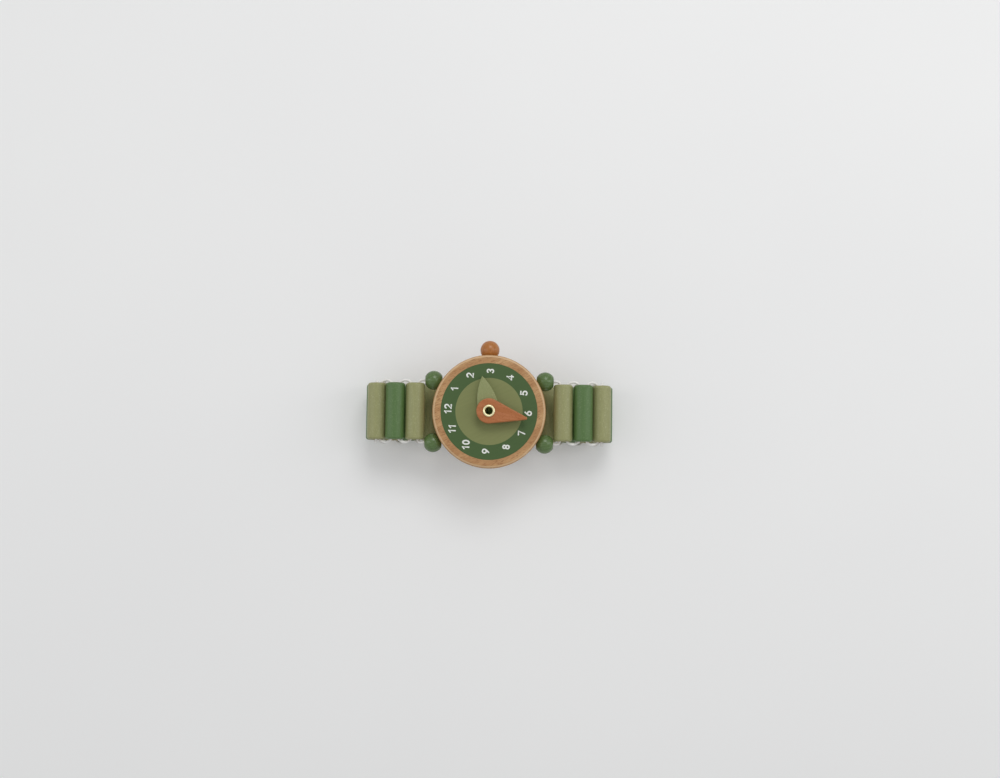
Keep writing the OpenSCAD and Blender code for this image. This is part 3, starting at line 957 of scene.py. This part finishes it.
# %% [markdown]
# ## The hands
# The hands are cut from thin beech, drilled, sanded round along their edges, and painted. A flat
# curve with two outlines, the shape and its hole, fills itself between them, and its own bevel rounds the
# edges. A negative offset of the same size keeps the outline where it was drawn.

# %% Hand outlines
HAND_EDGE = 0.42
EDGE_STEPS = 5
HAND_STREAK_MM = (6.0, 0.45, 0.6)


def sawn(name, outline, hole_r, low_z, high_z, turn):
    """A flat curve from an outline in mm, with a hole and rounded edges, as a mesh in its place."""
    sheet = bpy.data.curves.new(name, "CURVE")
    sheet.dimensions = "2D"
    sheet.fill_mode = "BOTH"
    sheet.bevel_depth = HAND_EDGE
    sheet.bevel_resolution = EDGE_STEPS
    sheet.offset = -HAND_EDGE
    thickness = (high_z - low_z) / MM
    sheet.extrude = thickness / 2 - HAND_EDGE
    for points in (outline, arc((0, 0), hole_r, 0, 354, 59)):
        spline = sheet.splines.new("POLY")
        spline.points.add(len(points) - 1)
        for point, (x, y) in zip(spline.points, points):
            point.co = (x, y, 0, 1)
        spline.use_cyclic_u = True
    host = bpy.data.objects.new(name, sheet)
    scene.collection.objects.link(host)
    graph = bpy.context.evaluated_depsgraph_get()
    mesh = bpy.data.meshes.new_from_object(host.evaluated_get(graph), depsgraph=graph)
    bpy.data.objects.remove(host)
    place = Matrix.Translation((0, 0, (low_z + high_z) / 2)) @ Matrix.Rotation(turn, 4, "Z")
    mesh.transform(place @ Matrix.Diagonal((MM, MM, MM, 1)))
    mesh.name = name
    outward(mesh)
    mesh.shade_smooth()
    return mesh


def finish_hand(name, mesh, finish, slot):
    """Dresses a hand, with normals that keep its face flat up to the rounding."""
    mesh.materials.clear()
    mesh.materials.append(finish)
    node = name.removesuffix("_piece")
    piece = new_piece(name, mesh, node, slot, node)
    flat = piece.modifiers.new("flat_faces", "WEIGHTED_NORMAL")
    flat.weight = 100


# %% Minute hand
MINUTE_TURN = math.radians(-10.8)
MINUTE_LEN, MINUTE_ROUND, MINUTE_TIP = 13.6, 4.4, 0.5
reach = MINUTE_LEN - MINUTE_TIP
taper = math.degrees(math.acos((MINUTE_ROUND - MINUTE_TIP) / reach))
outline = arc((0, 0), MINUTE_ROUND, taper, 360 - taper, 64) + arc((reach, 0), MINUTE_TIP, -taper, taper, 12)
low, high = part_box("minute_hand")
orange_hand = painted_wood(
    "orange_stain_on_sawn_beech", ("#ac6633", "#b97345", "#9d5829"), HAND_STREAK_MM, (0, 0, MINUTE_TURN),
    bare=False,
)
mesh = sawn("minute_hand_piece", outline, HOLE_R, low.z, high.z, MINUTE_TURN)
finish_hand("minute_hand_piece", mesh, orange_hand, "orange_paint")
print("minute hand", len(mesh.polygons), "faces")

# %% Hour hand
HOUR_TURN = math.radians(101.8)
HOUR_LEN, HOUR_HALF_W, HOUR_LEAF_X = 12.6, 3.7, 1.0
leaf = HOUR_LEN - HOUR_LEAF_X
leaf_r = (leaf ** 2 + HOUR_HALF_W ** 2) / (2 * HOUR_HALF_W)
tip = math.degrees(math.asin(leaf / leaf_r))
upper = arc((HOUR_LEAF_X, HOUR_HALF_W - leaf_r), leaf_r, 90, 90 - tip, 24)
back = arc((0, 0), HOUR_HALF_W, 270, 90, 40)
outline = [(x, -y) for x, y in reversed(upper)][:-1] + [(HOUR_LEAF_X, -HOUR_HALF_W)] + back + upper[:-1]
low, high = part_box("hour_hand")
sage_hand = painted_wood(
    "sage_paint_on_sawn_beech", ("#8a915d", "#929765", "#9ca271"), HAND_STREAK_MM, (0, 0, HOUR_TURN),
    bare=False,
)
mesh = sawn("hour_hand_piece", outline, HOLE_R, low.z, high.z, HOUR_TURN)
finish_hand("hour_hand_piece", mesh, sage_hand, "sage_paint")
print("hour hand", len(mesh.polygons), "faces")

# %% [markdown]
# ## Sizes and the end
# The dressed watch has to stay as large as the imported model, so both boxes are kept side by side.

# %% Compare the boxes and finish
visual_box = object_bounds()
growth = [round((v - c) / MM, 3) for v, c in zip(visual_box[1], cad_box[1])]
print("box grows by", growth, "mm at the top corner")
